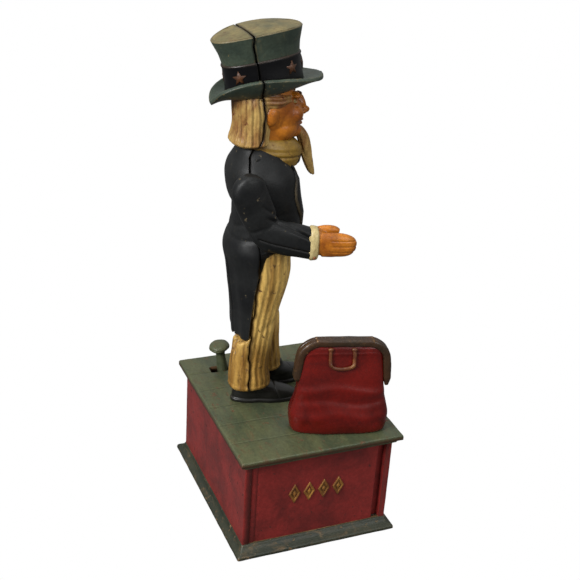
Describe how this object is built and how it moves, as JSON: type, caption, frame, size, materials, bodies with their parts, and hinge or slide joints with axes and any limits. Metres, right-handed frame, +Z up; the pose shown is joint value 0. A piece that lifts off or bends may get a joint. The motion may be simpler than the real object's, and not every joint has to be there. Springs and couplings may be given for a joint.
{
  "type": "mechanical bank",
  "caption": "Cast-iron mechanical coin bank: a standing figure in top hat and tailcoat on a boarded box; a rear knob lowers its coin hand, opens a travelling bag and swings its beard.",
  "frame": {"origin": "middle of the underside of the base", "axes": "+Z up; the figure faces -Y; its right hand and the bag are on the -X side"},
  "size_m": [0.121, 0.1007, 0.2911],
  "materials": {
    "stage_paint": "worn grey-green enamel",
    "red_paint": "worn dark red enamel",
    "coat_paint": "satin blue-black enamel",
    "cream_paint": "aged cream enamel",
    "bag_paint": "glossy dark red enamel",
    "steel": "bright wire and rivets",
    "bare_iron": "unpainted cast iron"
  },
  "bodies": {
    "base": {"base_plate": "stage_paint", "front_wall": "red_paint", "back_wall": "red_paint", "right_side_panel": "red_paint", "left_side_panel": "red_paint", "stage_plate": "stage_paint", "tie_screws": "steel", "coin_trap_screw": "steel", "figure_back": "coat_paint", "figure_front": "coat_paint", "body_rivets": "steel", "stage_screws": "steel", "left_arm": "coat_paint", "left_arm_pin": "steel", "beard_pin": "steel", "bag_outer_half": "bag_paint", "bag_hinge_pin": "steel", "lever_shaft": "steel", "return_spring": "steel"},
    "lever": {"push_lever": "bare_iron", "push_knob": "stage_paint"},
    "right_arm": {"right_arm_upper": "coat_paint", "right_arm_lower": "coat_paint", "right_arm_shaft": "steel", "arm_crank": "bare_iron"},
    "beard": {"beard": "cream_paint"},
    "flap": {"bag_flap": "bag_paint"},
    "arm_rod": {"arm_rod": "steel"},
    "beard_rod": {"beard_rod": "steel"},
    "bag_rod": {"bag_rod": "steel"},
    "trap_cover": {"coin_trap_cover": "bare_iron"}
  },
  "joints": [
    {"name": "lever_pivot", "type": "hinge", "parent": "base", "child": "lever", "pos_m": [0, -0.03, 0.051], "axis": [-1, 0, 0], "range_deg": [0, 7], "stiffness_Nm_per_rad": 0.6, "springref_deg": -14.32, "deforming": ["return_spring"]},
    {"name": "arm_swing", "type": "hinge", "parent": "base", "child": "right_arm", "pos_m": [-0.02, 0.032, 0.206], "axis": [1, 0, 0], "range_deg": [0, 29.99]},
    {"name": "beard_swing", "type": "hinge", "parent": "base", "child": "beard", "pos_m": [0.01, 0.007, 0.231], "axis": [-1, 0, 0], "range_deg": [0, 22.56]},
    {"name": "flap_swing", "type": "hinge", "parent": "base", "child": "flap", "pos_m": [-0.03609, -0.01727, 0.0715], "axis": [0.2588, 0.9659, 0], "range_deg": [0, 22.23]},
    {"name": "arm_rod_slide", "type": "slide", "parent": "base", "child": "arm_rod", "axis": [0, 0, -1], "range_m": [0, 0.0064]},
    {"name": "beard_rod_slide", "type": "slide", "parent": "base", "child": "beard_rod", "axis": [0, 0, -1], "range_m": [0, 0.0067]},
    {"name": "bag_rod_slide", "type": "slide", "parent": "base", "child": "bag_rod", "axis": [0, 0, -1], "range_m": [0, 0.0029]},
    {"name": "trap_swing", "type": "hinge", "parent": "base", "child": "trap_cover", "pos_m": [0.024, 0, 0.002], "axis": [0, 0, 1], "range_deg": [0, 90]}
  ],
  "couplings": [
    {"joint": "arm_swing", "follows": "lever_pivot", "ratio": 4.2417},
    {"joint": "beard_swing", "follows": "lever_pivot", "ratio": 3.1796},
    {"joint": "flap_swing", "follows": "lever_pivot", "ratio": 3.1335},
    {"joint": "arm_rod_slide", "follows": "lever_pivot", "m_per_rad": 0.0505},
    {"joint": "beard_rod_slide", "follows": "lever_pivot", "m_per_rad": 0.0535},
    {"joint": "bag_rod_slide", "follows": "lever_pivot", "m_per_rad": 0.0225}
  ]
}
